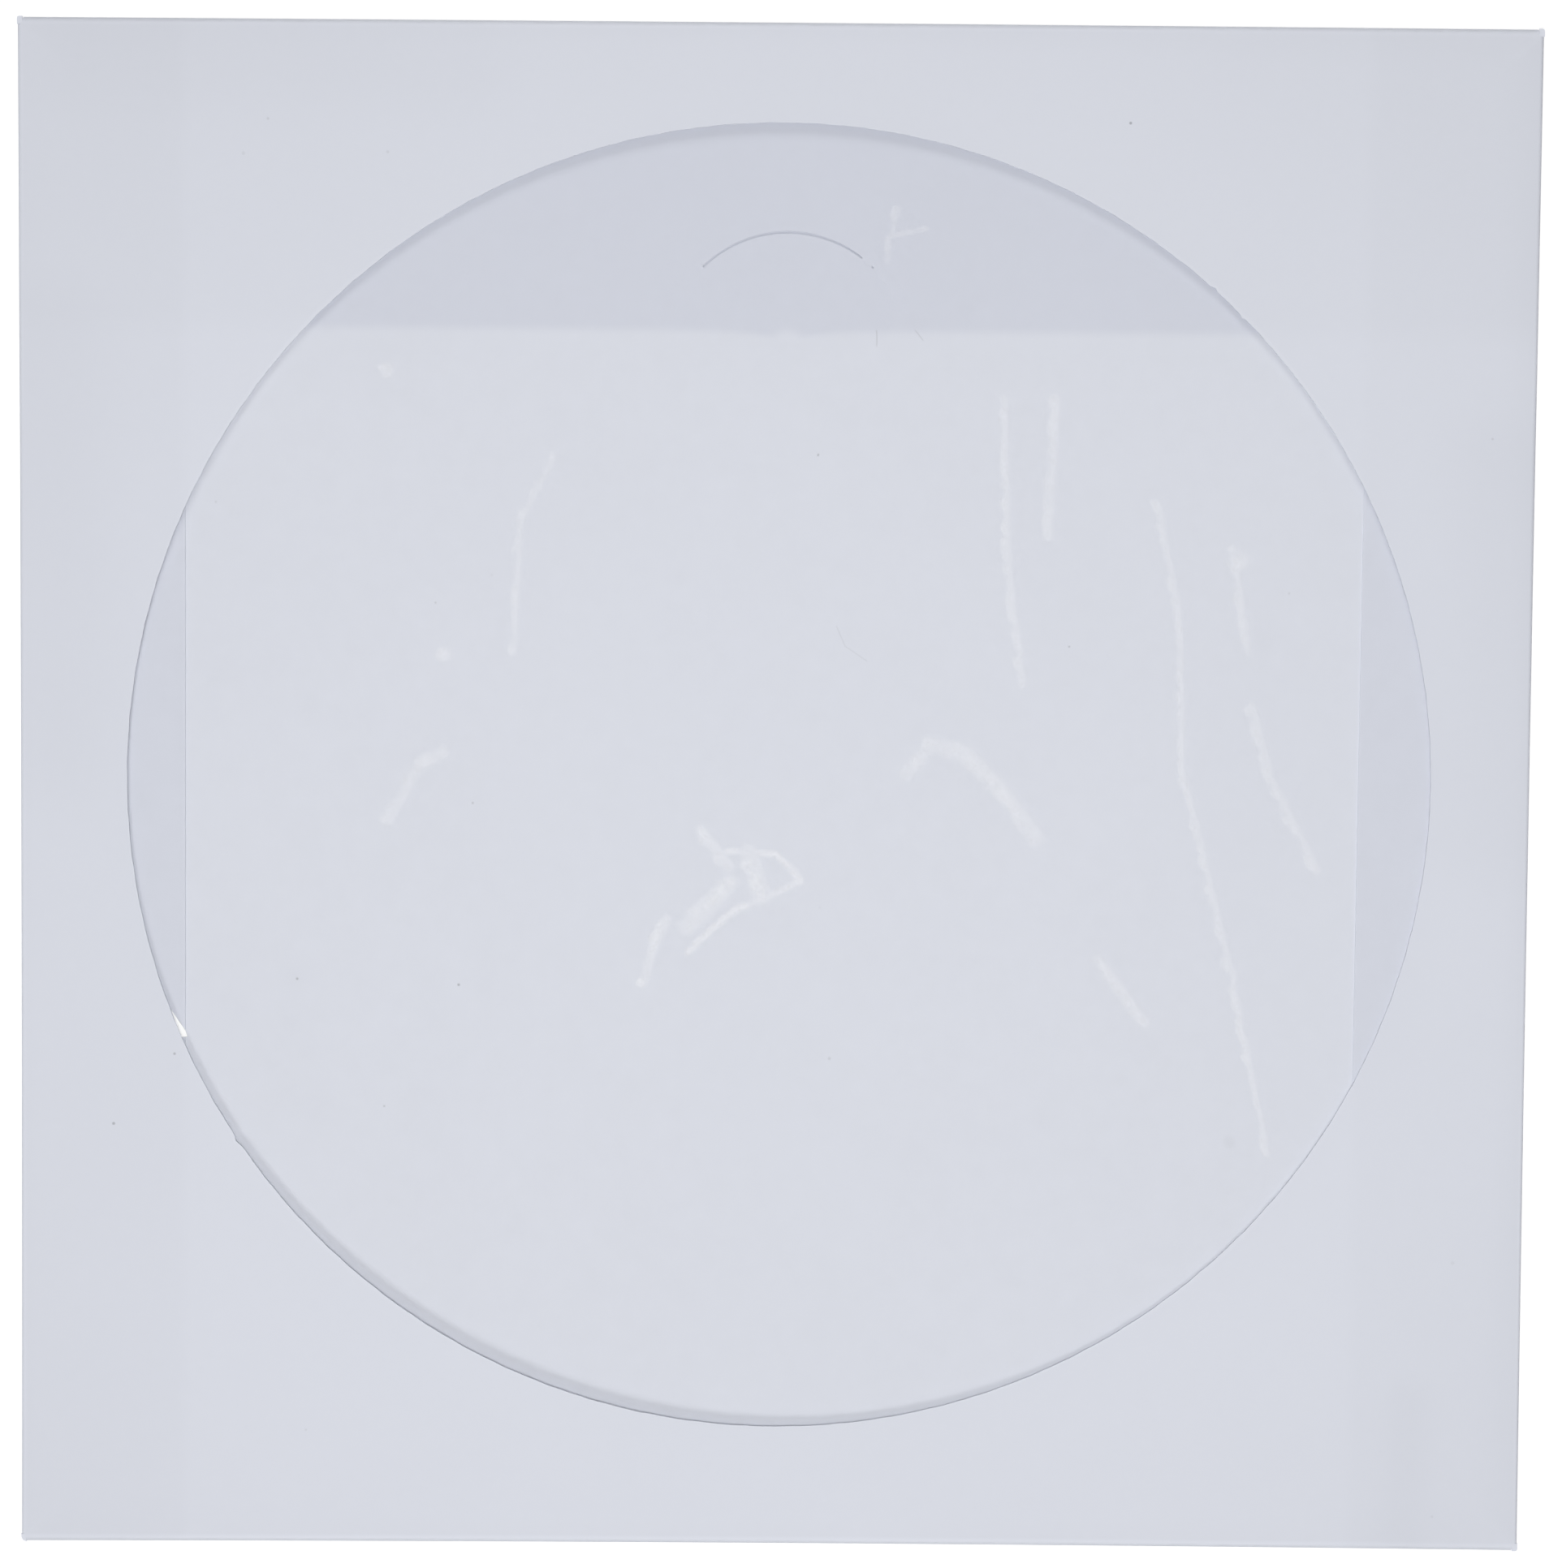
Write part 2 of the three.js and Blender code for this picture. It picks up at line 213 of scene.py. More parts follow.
class Sheet:
    """A thin sheet gathered from grids of points, which join where their places on the flat sheet agree."""

    def __init__(self, thickness):
        self.thickness = thickness
        self.flats, self.places, self.quads, self.edges, self.count = [], [], [], [], 0

    def add(self, flat_x, flat_y, x, y, z, kept=None, edge=0.0):
        """One grid: its places on the flat sheet, and in space. Quads where kept is False are left out.

        edge is 1 along a cut edge that gets a painted highlight, and 0 one row further in.
        """
        rows, columns = np.shape(flat_x)
        quads = grid_faces(rows, columns)
        if kept is not None:
            quads = quads[kept.ravel()]
        self.flats.append(np.stack([np.ravel(flat_x), np.ravel(flat_y)], axis=1))
        self.places.append(np.stack([np.ravel(x), np.ravel(y), np.ravel(z)], axis=1))
        self.edges.append(np.ravel(np.broadcast_to(edge, (rows, columns))))
        self.quads.append(quads + self.count)
        self.count += rows * columns

    def piece(self, name, material):
        """The closed mesh: both faces half a thickness from the middle along its normals, and the cut edges."""
        flats, places, quads = (np.concatenate(part) for part in (self.flats, self.places, self.quads))
        _, first, joined = np.unique(np.round(flats, 4), axis=0, return_index=True, return_inverse=True)
        flats, places, quads = flats[first], places[first], joined.ravel()[quads]
        edge = np.concatenate(self.edges)[first]
        corners = flats[quads]
        along, across = corners[:, 2] - corners[:, 0], corners[:, 3] - corners[:, 1]
        clockwise = along[:, 0] * across[:, 1] - along[:, 1] * across[:, 0] < 0.0
        quads[clockwise] = quads[clockwise][:, ::-1]
        corners = places[quads]
        normal = np.cross(corners[:, 2] - corners[:, 0], corners[:, 3] - corners[:, 1])
        normals = np.zeros_like(places)
        for k in range(4):
            np.add.at(normals, quads[:, k], normal)
        normals /= np.maximum(np.linalg.norm(normals, axis=1, keepdims=True), 1e-12)
        used = np.unique(quads)
        number = np.full(len(places), -1)
        number[used] = np.arange(len(used))
        quads, places, normals, flats, edge = number[quads], places[used], normals[used], flats[used], edge[used]
        total = len(used)
        sides = np.concatenate([quads[:, [k, (k + 1) % 4]] for k in range(4)])
        key = sides[:, 0] * total + sides[:, 1]
        rim = sides[~np.isin(key, sides[:, 1] * total + sides[:, 0])]
        walls = np.stack([rim[:, 1], rim[:, 0], rim[:, 0] + total, rim[:, 1] + total], axis=1)
        outer = places + normals * self.thickness / 2
        inner = places - normals * self.thickness / 2
        mesh = bpy.data.meshes.new(name)
        faces = np.concatenate([quads, quads[:, ::-1] + total, walls])
        mesh.from_pydata(np.concatenate([outer, inner]) * MM, [], faces.tolist())
        blank = mesh.attributes.new("blank", "FLOAT_VECTOR", "POINT")
        on_blank = np.column_stack([flats, edge])
        blank.data.foreach_set("vector", np.concatenate([on_blank, on_blank]).ravel())
        mesh.shade_smooth()
        mesh.set_sharp_from_angle(angle=np.radians(50.0))
        mesh.materials.append(material)
        mesh.update()
        piece = bpy.data.objects.new(name, mesh)
        bpy.context.scene.collection.objects.link(piece)
        return piece


def bump(x, centre, spread):
    """A bell curve: 1 at its centre, and 1 / e a spread away from it."""
    return np.exp(-(((x - centre) / spread) ** 2))


# The half-moon cut runs between two lines of the back panel's grid, which are bent into half circles.
def cut_width(angle):
    """Width of the opened cut: widest near its top, closing down both sides."""
    return CUT_LEAST + sum(width * bump(angle, centre, spread) for width, centre, spread in CUT_OPENINGS)


def bent_round_tab(x, y):
    """Draws each square ring about the tab's centre into a circle, less and less further out, and opens the cut."""
    offset_x, offset_y = x - TAB_CENTRE[0], y - TAB_CENTRE[1]
    square = np.maximum(np.abs(offset_x), np.abs(offset_y))
    radius = np.hypot(offset_x, offset_y) + 1e-9
    share = 1.0 - smooth(TAB_RADIUS + 2.0, TAB_RADIUS + 12.0, square)
    factor = 1.0 + share * (square / radius - 1.0)
    angle = np.arctan2(offset_y, offset_x)
    shift = np.sign(square - TAB_RADIUS) * (cut_width(angle) / 2 - CUT_HALF)
    near = bump(square, TAB_RADIUS, 0.5) * (offset_y > 0.0)
    factor = factor * (1.0 + near * shift / np.maximum(square, 1.0))
    return TAB_CENTRE[0] + offset_x * factor, TAB_CENTRE[1] + offset_y * factor


def spaced(low, high, count, extra=()):
    """Evenly spaced numbers with a few exact ones put in, and the even ones beside those left out."""
    even = np.linspace(low, high, count)
    for value in extra:
        inside = (even != low) & (even != high)
        even = even[~(inside & (np.abs(even - value) < 0.35 * (high - low) / count))]
    return np.unique(np.concatenate([even, extra]))


# Where the folds start and how wide the panels beyond them are.
END_HALF = HALF_WIDTH - END_LAND
SIDE_HALF = HALF_HEIGHT - SIDE_LAND
CUT_LINES = [TAB_RADIUS - CUT_HALF, TAB_RADIUS + CUT_HALF]
BOTTOM_X = spaced(-END_HALF, END_HALF, STATIONS, [TAB_CENTRE[0] + s * c for s in (-1, 1) for c in CUT_LINES])
TOP_X = np.linspace(-END_HALF, END_HALF, STATIONS)
SIDE_Y = np.linspace(-SIDE_HALF, SIDE_HALF, STATIONS)


def bend_radius(upper, lower):
    """Half the distance between the levels of the two sheets that a fold joins."""
    return (upper - lower) / 2


def fold_start(half, radius):
    """Where a panel stops being flat before its fold, so that the fold's outside lies at half."""
    return half - radius - PAPER / 2


def side_low(y):
    """Level of the side flaps' middle."""
    return LOWEST + PITCH + climb(y)


def add_bend(sheet, along, start, radius, upper, place):
    """A half turn: the angle from 0 to pi runs across it, and the flat sheet's arc is the radius times the angle."""
    angle = np.linspace(0.0, np.pi, BEND_ROWS)[:, None]
    across = start + radius * np.sin(angle)
    level = upper - radius * (1.0 - np.cos(angle))
    flat = start + radius * angle
    place(sheet, np.broadcast_to(along, flat.shape), flat, across, level)


def corner_patch(sheet, inner, side, end, cut):
    """The small flat piece between two folds, out to the sleeve's corner with its tip worn off."""
    outer = np.array(
        [
            (HALF_WIDTH, SIDE_HALF),
            (HALF_WIDTH, HALF_HEIGHT - cut),
            (HALF_WIDTH - cut * 0.3, HALF_HEIGHT - cut * 0.3),
            (HALF_WIDTH - cut, HALF_HEIGHT),
            (END_HALF, HALF_HEIGHT),
        ]
    ) * (side, end)
    if side * end < 0:
        outer = outer[::-1]
    x, y = np.stack([inner, outer]).transpose(2, 0, 1)
    sheet.add(x, y, *pinched(x, y), fold_level(y))


def front_panel(sheet):
    """Rings between the window's circle and the folds: each point runs straight from one to the other."""
    side_start = fold_start(HALF_WIDTH, bend_radius(fold_level(SIDE_Y), side_low(SIDE_Y)))
    top_start = fold_start(HALF_HEIGHT, bend_radius(FOLD_LEVEL_TOP, LOWEST))
    bottom_start = fold_start(HALF_HEIGHT, bend_radius(fold_level(-HALF_HEIGHT), LOWEST))
    right = np.stack([side_start, SIDE_Y], axis=1)
    top = np.stack([TOP_X, np.full_like(TOP_X, top_start)], axis=1)[::-1]
    left = np.stack([-side_start, SIDE_Y], axis=1)[::-1]
    bottom = np.stack([BOTTOM_X, np.full_like(BOTTOM_X, -bottom_start)], axis=1)
    runs = [right, top, left, bottom]
    outline = []
    for run, after, (side, end, cut) in zip(runs, runs[1:] + runs[:1], WORN_CORNERS):
        between = run[-1] + (after[0] - run[-1]) * np.linspace(0.0, 1.0, CORNER_POINTS)[:, None]
        outline += [run[:-1], between[:-1]]
        corner_patch(sheet, between, side, end, cut)
    outline = np.concatenate(outline)
    outline = np.concatenate([outline, outline[:1]])
    angle = np.arctan2(outline[:, 1] - FILM_CENTRE[1], outline[:, 0] - FILM_CENTRE[0])
    window = FILM_CENTRE + window_edge(angle)[:, None] * np.stack([np.cos(angle), np.sin(angle)], axis=1)
    share = (np.linspace(0.0, 1.0, RINGS) ** CROWDING)[:, None, None]
    points = window + (outline - window) * share
    x, y = points[..., 0], points[..., 1]
    burr = BURR * np.exp(-(np.hypot(*(points - window).T).T / BURR_REACH))
    cockling = ripple(x, y, FRONT_COCKLING) * (4.0 * share * (1.0 - share))[..., 0]
    z = front_level(x, y) + burr + cockling
    z[-1] = fold_level(y[-1])
    # The row at the window is the cut edge, which gets a painted highlight.
    sheet.add(x, y, *pinched(x, y), z, edge=(share[..., 0] == 0.0))


def window_edge(angle):
    """Radius of the punched window: a circle with a slightly fibrous edge and three small nicks."""
    radius = WINDOW_RADIUS
    for depth, waves, phase in WINDOW_WAVES:
        radius = radius + depth * np.sin(waves * angle + phase)
    for place, depth, width in WINDOW_NICKS:
        away = (angle - place + np.pi) % (2.0 * np.pi) - np.pi
        radius = radius + depth * bump(away, 0.0, width)
    return radius


def side_panels(sheet, side):
    """The bend at a side fold, and the glue flap beyond it, with slanted ends and its free edge pressed down."""
    upper, lower = fold_level(SIDE_Y), side_low(SIDE_Y)
    radius = bend_radius(upper, lower)
    start = fold_start(HALF_WIDTH, radius)

    def place(target, along, flat, across, level):
        target.add(side * flat, along, *pinched(side * across, along), level)

    add_bend(sheet, SIDE_Y, start, radius, upper, place)
    lean = RIGHT_LEAN if side > 0 else 0.0
    reach = (RIGHT_FLAP if side > 0 else LEFT_FLAP) - lean * SIDE_Y / (2.0 * SIDE_HALF)
    ends = np.minimum((SIDE_HALF - SIDE_Y) / SLANT_TOP, (SIDE_Y + SIDE_HALF) / SLANT_BOTTOM)
    reach = 1.0 + (reach - 1.0) * np.sqrt(smooth(0.0, 1.15, ends) * 0.35 + 0.65 * np.clip(ends, 0.0, 1.0))
    length = start - (HALF_WIDTH - reach)
    share = np.append(np.linspace(0.0, 0.985, SIDE_ROWS), 1.0)[:, None]
    flat = start + np.pi * radius + length * share
    x, y = side * (start - length * share), np.broadcast_to(SIDE_Y, flat.shape)
    level = lower - SIDE_FLAP_SINK * smooth(0.7, 1.0, share)
    # The flap's free edge gets a painted highlight.
    sheet.add(side * flat, y, *pinched(x, y), level, edge=(share == 1.0))


def closing_flap(sheet):
    """The bend at the top fold, and the flap behind the back panel, drawn in and rounded at its free edge."""
    radius = bend_radius(FOLD_LEVEL_TOP, LOWEST)
    start = fold_start(HALF_HEIGHT, radius)
    start_line = np.full_like(TOP_X, start)

    def place(target, along, flat, across, level):
        target.add(along, flat, *pinched(along, across), level)

    add_bend(sheet, TOP_X, start_line, radius, np.full_like(TOP_X, FOLD_LEVEL_TOP), place)
    half_edge = END_HALF - CLOSING_TAPER
    beyond = np.clip(np.abs(TOP_X) * half_edge / END_HALF - (half_edge - CLOSING_CORNER), 0.0, CLOSING_CORNER)
    drop = CLOSING_CORNER - np.sqrt(CLOSING_CORNER**2 - beyond**2)
    length = start - FLAP_EDGE - drop * CORNER_SHARE
    share = np.linspace(0.0, 1.0, CLOSING_ROWS)[:, None]
    y = start - length * share
    x = TOP_X * (1.0 - (start - y) / (start - FLAP_EDGE) * CLOSING_TAPER / END_HALF)
    sheet.add(x, start + np.pi * radius + length * share, *pinched(x, y), np.full(y.shape, LOWEST))


def back_panel(sheet):
    """The bend at the bottom fold, and the back panel with the half-moon cut and its small uncut bridge.

    Inside the cut the tab sinks a little towards the closing flap, except by the bridge. Between the bottom
    fold and the closing flap the panel is loose and cockles.
    """
    upper = float(fold_level(-HALF_HEIGHT))
    radius = bend_radius(upper, LOWEST)
    start = fold_start(HALF_HEIGHT, radius)

    def place(target, along, flat, across, level):
        target.add(along, -flat, *pinched(along, -across), level)

    flat_line = np.full_like(BOTTOM_X, start)
    add_bend(sheet, BOTTOM_X, flat_line, radius, np.full_like(BOTTOM_X, upper), place)
    throat = HALF_HEIGHT - THROAT
    throat_start = throat - THROAT_ZONE
    below = spaced(-start, TAB_CENTRE[1], BACK_ROWS, CLIMB)
    across_tab = spaced(TAB_CENTRE[1], throat_start, TAB_ROWS, [TAB_CENTRE[1] + line for line in CUT_LINES])
    rows = np.unique(np.concatenate([below, across_tab, np.linspace(throat_start, throat, THROAT_ROWS)]))[:, None]
    half_edge = END_HALF - BACK_TAPER
    beyond = np.clip(np.abs(BOTTOM_X) - (half_edge - BACK_CORNER), 0.0, BACK_CORNER)
    drop = BACK_CORNER - np.sqrt(BACK_CORNER**2 - beyond**2)
    y = rows - drop * smooth(throat_start, throat, rows) * CORNER_SHARE
    x = BOTTOM_X * (1.0 - BACK_TAPER / END_HALF * (rows + start) / (throat + start))
    flat_y = -start - np.pi * radius - (y + start)
    middle_x = (x[:-1, :-1] + x[1:, 1:]) / 2 - TAB_CENTRE[0]
    middle_y = (y[:-1, :-1] + y[1:, 1:]) / 2 - TAB_CENTRE[1]
    on_ring = np.abs(np.maximum(np.abs(middle_x), np.abs(middle_y)) - TAB_RADIUS) < CUT_HALF
    bridge = np.abs(np.arctan2(middle_y, middle_x) - BRIDGE) < BRIDGE_HALF
    kept = ~(on_ring & (middle_y > 0.0) & ~bridge)
    bent_x, bent_y = bent_round_tab(x, y)
    tab_x, tab_y = (bent_x - TAB_CENTRE[0]) / TAB_RADIUS, (bent_y - TAB_CENTRE[1]) / TAB_RADIUS
    free = (np.hypot(tab_x, tab_y) < 1.0) * (1.0 - bump(np.arctan2(tab_y, tab_x), BRIDGE, 0.16))
    sink = TAB_SINK * smooth(0.1, 1.0, tab_y) * free
    loose = smooth(-56.0, -40.0, bent_y) * (1.0 - smooth(18.0, 26.0, bent_y))
    level = LOWEST + climb(bent_y) - sink + ripple(bent_x, bent_y, BACK_COCKLING) * loose
    sheet.add(x, flat_y, *pinched(bent_x, bent_y), np.maximum(level, LOWEST), kept)


def paper_sleeve(material):
    """The whole folded sheet."""
    sheet = Sheet(PAPER)
    front_panel(sheet)
    side_panels(sheet, 1)
    side_panels(sheet, -1)
    closing_flap(sheet)
    back_panel(sheet)
    return sheet.piece("folded_paper", material)


def window_film(material):
    """The film patch: flat on the sheet it was cut from, and in the sleeve just under the front panel."""
    steps = np.linspace(-FILM_HALF, FILM_HALF, FILM_POINTS)
    x, y = np.meshgrid(FILM_CENTRE[0] + steps, FILM_CENTRE[1] + steps)
    level = front_level(x, y) - PAPER / 2 - GLUE - FILM / 2
    sheet = Sheet(FILM)
    sheet.add(x, y, *pinched(x, y), level)
    return sheet.piece("clear_film", material)


class Value:
    """A number that varies over a surface. Arithmetic on it adds Math nodes to its material."""

    def __init__(self, nodes, socket):
        self.nodes, self.socket = nodes, socket

    def math(self, operation, *others):
        return self.nodes.value("ShaderNodeMath", {"operation": operation}, self, *others)

    def __add__(self, other):
        return self.math("ADD", other)

    def __sub__(self, other):
        return self.math("SUBTRACT", other)

    def __rsub__(self, other):
        return self.nodes.value("ShaderNodeMath", {"operation": "SUBTRACT"}, other, self)

    def __mul__(self, other):
        return self.math("MULTIPLY", other)

    def __neg__(self):
        return self * -1.0

    def __abs__(self):
        return self.math("ABSOLUTE")

    def lower(self, other):
        return self.math("MINIMUM", other)

    def higher(self, other):
        return self.math("MAXIMUM", other)

    def step(self, low, high, top=1.0):
        """0 below low and top above high, or the other way round if low is the higher."""
        settings = {"interpolation_type": "SMOOTHSTEP"}
        return self.nodes.value("ShaderNodeMapRange", settings, self, low, high, 0.0, top)

    __radd__, __rmul__ = __add__, __mul__


class Nodes:
    """The node tree of one new material."""

    def __init__(self, name):
        self.material = bpy.data.materials.new(name)
        self.material.use_nodes = True
        self.tree = self.material.node_tree
        self.tree.nodes.clear()

    def node(self, kind, settings=None, *values, **named):
        """A node of that kind, with its settings, and numbers, colours or links for its sockets in order."""
        made = self.tree.nodes.new(kind)
        for name, setting in (settings or {}).items():
            setattr(made, name, setting)
        sockets = [s for s in made.inputs if s.enabled]
        pairs = list(zip(sockets, values))
        pairs += [(made.inputs[name.replace("_", " ")], value) for name, value in named.items()]
        for socket, value in pairs:
            if isinstance(value, Value):
                value = value.socket
            if isinstance(value, bpy.types.NodeSocket):
                self.tree.links.new(value, socket)
            elif value is not None:
                socket.default_value = value
        return made

    def value(self, kind, settings, *values, **named):
        """The first output of such a node."""
        made = self.node(kind, settings, *values, **named)
        return Value(self, next(s for s in made.outputs if s.enabled))

    def mix(self, share, first, second):
        """A colour between two, by a share from 0 to 1."""
        return self.value("ShaderNodeMix", {"data_type": "RGBA"}, share, first, second)

    def parts(self, vector):
        """The X, Y and Z of a vector."""
        split = self.node("ShaderNodeSeparateXYZ", None, vector)
        return [Value(self, split.outputs[name]) for name in "XYZ"]

    def finish(self, shader):
        """The material, with that shader on its surface."""
        self.node("ShaderNodeOutputMaterial", None, shader)
        return self.material


def from_srgb(red, green, blue, alpha=1.0):
    """A colour as the shader wants it, from the 0 to 255 that a picture shows."""
    parts = np.array([red, green, blue]) / 255.0
    linear = np.where(parts <= 0.04045, parts / 12.92, ((parts + 0.055) / 1.055) ** 2.4)
    return (*linear.tolist(), alpha)


# Colours of the paper: one layer over the white table, and a painted shade where a second layer behind it greys it.
PAPER_COLOUR = from_srgb(214.5, 217.3, 226.2)
DOUBLED_SHADED_COLOUR = from_srgb(205.5, 208.6, 219.6)


def strongest(marks):
    """The strongest of several marks at each point."""
    total = marks[0]
    for mark in marks[1:]:
        total = total.higher(mark)
    return total


def spot(n, place, x, y, radius, strength, soft=0.5):
    """The strength within a radius of a point of the sheet, fading to 0 over its outer part."""
    away = n.value("ShaderNodeVectorMath", {"operation": "DISTANCE"}, place, (x, y, 0.0))
    return away.step(radius, radius * (1.0 - soft), strength)


def stroke(n, place, points, width, strength):
    """The strength on a line through the points, fading to 0 at half its width.

    The distance to each straight piece is the one to its nearest point, found by projecting onto it.
    """
    marks = []
    for (x0, y0), (x1, y1) in zip(points[:-1], points[1:]):
        run = np.array([x1 - x0, y1 - y0])
        length = float(np.hypot(*run))
        along = (float(run[0] / length), float(run[1] / length), 0.0)
        offset = n.value("ShaderNodeVectorMath", {"operation": "SUBTRACT"}, place, (x0, y0, 0.0))
        share = n.value("ShaderNodeVectorMath", {"operation": "DOT_PRODUCT"}, offset, along)
        share = share.higher(0.0).lower(length)
        nearest = n.value("ShaderNodeVectorMath", {"operation": "SCALE"}, along, Scale=share)
        away = n.value("ShaderNodeVectorMath", {"operation": "DISTANCE"}, offset, nearest)
        marks.append(away.step(width / 2, 0.0, strength))
    return strongest(marks)


# Bits of dark pulp and dust on the front: place and radius in mm, and strength.
FRONT_SPECKS = [
    (-54.3, -27.7, 0.16, 0.35), (-49.3, -21.9, 0.14, 0.30), (-38.4, -53.1, 0.12, 0.10), (28.4, 54.6, 0.15, 0.40),
    (-41.6, 54.4, 0.14, 0.14), (-43.6, 51.6, 0.18, 0.08), (-31.9, 51.8, 0.16, 0.10), (58.3, 29.3, 0.14, 0.16),
    (56.2, -38.5, 0.20, 0.06), (54.8, -59.7, 0.16, 0.07),
]  # fmt: skip
# The same on the inside of the back panel, as seen through the window.
BACK_SPECKS = [
    (-39.3, -15.7, 0.15, 0.30), (-26.0, -16.1, 0.15, 0.34), (3.4, 27.2, 0.14, 0.28), (-24.9, -1.1, 0.13, 0.20),
    (37.7, -28.7, 0.67, 0.04), (4.6, -22.0, 0.18, 0.12), (-32.1, -26.2, 0.13, 0.20), (42.0, 16.6, 0.13, 0.12),
    (3.7, -9.5, 0.12, 0.10), (-28.0, 15.3, 0.14, 0.14), (-23.4, 17.6, 0.12, 0.10), (-46.0, 23.4, 0.13, 0.12),
    (24.0, 12.1, 0.13, 0.22),
]  # fmt: skip


# A hair and two fibres there: points in mm, width and strength.
BACK_FIBRES = [
    ([(4.9, 13.6), (5.6, 12.0), (7.4, 10.8)], 0.16, 0.10),
    ([(8.2, 37.8), (8.0, 36.5)], 0.16, 0.20),
    ([(11.3, 37.8), (11.8, 37.0)], 0.16, 0.18),
]
# Painted shade on the front's margins, soft darker bands where the light falls weaker on the paper, given in the same
# way.
FRONT_PAINTED_SHADES = [
    ([(52.8, -50.0), (52.2, -62.3)], 7.0, 0.022),
    ([(59.0, 27.0), (59.0, -3.0)], 16.0, 0.026),
    ([(-59.0, 36.0), (-59.0, 3.0)], 16.0, 0.020),
    ([(-56.0, 59.0), (-26.0, 59.0)], 14.0, 0.018),
]

# Painted shade: how much darker the front is over each flap behind it. Painted highlights: how much lighter it is
# along the window's cut edge and the folds.
LEFT_SHADE, RIGHT_SHADE, CLOSING_SHADE = 0.017, 0.014, 0.016
CUT_EDGE_HIGHLIGHT, SIDE_FOLD_HIGHLIGHT, END_FOLD_HIGHLIGHT = 0.03, 0.02, 0.05
CLOUDING, GRAIN = 0.02, 0.012


def back_start():
    """Where the back panel's flat part begins at the bottom fold, and how long its fold is on the flat sheet."""
    radius = bend_radius(float(fold_level(-HALF_HEIGHT)), LOWEST)
    return fold_start(HALF_HEIGHT, radius), np.pi * radius


def paper_material():
    """Matt white paper: soft clouding, a fine tooth, dark specks, the layers behind it showing through faintly as
    painted shade, painted shade on its margins, and painted highlights along the window's cut edge and the folds.
    """
    n = Nodes("white_paper")
    u, v, edge = n.parts(n.node("ShaderNodeAttribute", {"attribute_name": "blank"}).outputs["Vector"])
    flat = n.value("ShaderNodeCombineXYZ", None, u, v, 0.0)
    place = n.node("ShaderNodeTexCoord").outputs["Object"]
    cloud = n.value("ShaderNodeTexNoise", None, Vector=place, Scale=60.0, Detail=2.0, Roughness=0.6)
    grain = n.value("ShaderNodeTexNoise", None, Vector=place, Scale=900.0, Detail=1.0, Roughness=0.7)
    start, fold = back_start()
    # The specks, fibres and hair are dirt; the front's shades among these marks are painted shade.
    marks = [spot(n, flat, *mark) for mark in FRONT_SPECKS] + [stroke(n, flat, *mark) for mark in FRONT_PAINTED_SHADES]
    seen = n.value("ShaderNodeCombineXYZ", None, u, -v - (2.0 * start + fold), 0.0)
    marks += [spot(n, seen, *mark) for mark in BACK_SPECKS] + [stroke(n, seen, *mark) for mark in BACK_FIBRES]
    shade, doubled = shade_of_layers_behind(n, u, v)
    # Painted highlights over the side and end folds, and along the cut edges.
    side_fold = abs(u).step(HALF_WIDTH - 0.55, HALF_WIDTH - 0.25) * abs(u).step(HALF_WIDTH + 0.35, HALF_WIDTH)
    end_fold = abs(v).step(HALF_HEIGHT - 0.75, HALF_HEIGHT - 0.4) * abs(v).step(HALF_HEIGHT + 0.45, HALF_HEIGHT + 0.1)
    shade = shade + edge * CUT_EDGE_HIGHLIGHT + (side_fold * SIDE_FOLD_HIGHLIGHT).higher(end_fold * END_FOLD_HIGHLIGHT)
    shade = shade + (cloud - 0.5) * CLOUDING + (grain - 0.5) * GRAIN
    shade = shade * (1.0 - strongest(marks))
    # Where layers lie behind, the paper takes the doubled colour as painted shade.
    colour = n.mix(doubled, PAPER_COLOUR, DOUBLED_SHADED_COLOUR)
    colour = n.value("ShaderNodeVectorMath", {"operation": "SCALE"}, colour, Scale=shade)
    shader = n.node("ShaderNodeBsdfPrincipled", None, Base_Color=colour, Roughness=0.85, Specular_IOR_Level=0.3)
    return n.finish(shader.outputs["BSDF"])


def shade_of_layers_behind(n, u, v):
    """The painted shade of the layers behind the paper, as how bright it is, and the share of the doubled, shaded
    colour on the back panel.
    """
    wide, high = HALF_WIDTH, HALF_HEIGHT
    start, fold = back_start()
    on_front = abs(u).step(wide + 0.3, wide - 0.3) * abs(v).step(high + 0.3, high - 0.3)
    over_left = (-u).step(wide - LEFT_FLAP - 0.8, wide - LEFT_FLAP + 0.8)
    over_right = u.step(wide - RIGHT_FLAP - 0.8, wide - RIGHT_FLAP + 0.8)
    over_closing = v.step(FLAP_EDGE - 1.5, FLAP_EDGE + 1.5)
    front = 1.0 - over_left * LEFT_SHADE - over_right * RIGHT_SHADE - over_closing * CLOSING_SHADE
    on_back = v.step(-high - 1.0, -high - 1.6)
    back_y = -v - (2.0 * start + fold)
    at_flap = on_back * back_y.step(FLAP_EDGE - 0.55, FLAP_EDGE + 0.55)
    side = abs(u).step(wide + 1.0, wide + 1.6)
    closing = v.step(high + 1.0, high + 1.6)
    return front * on_front + (1.0 - on_front), at_flap.higher(side * 0.75).higher(closing)


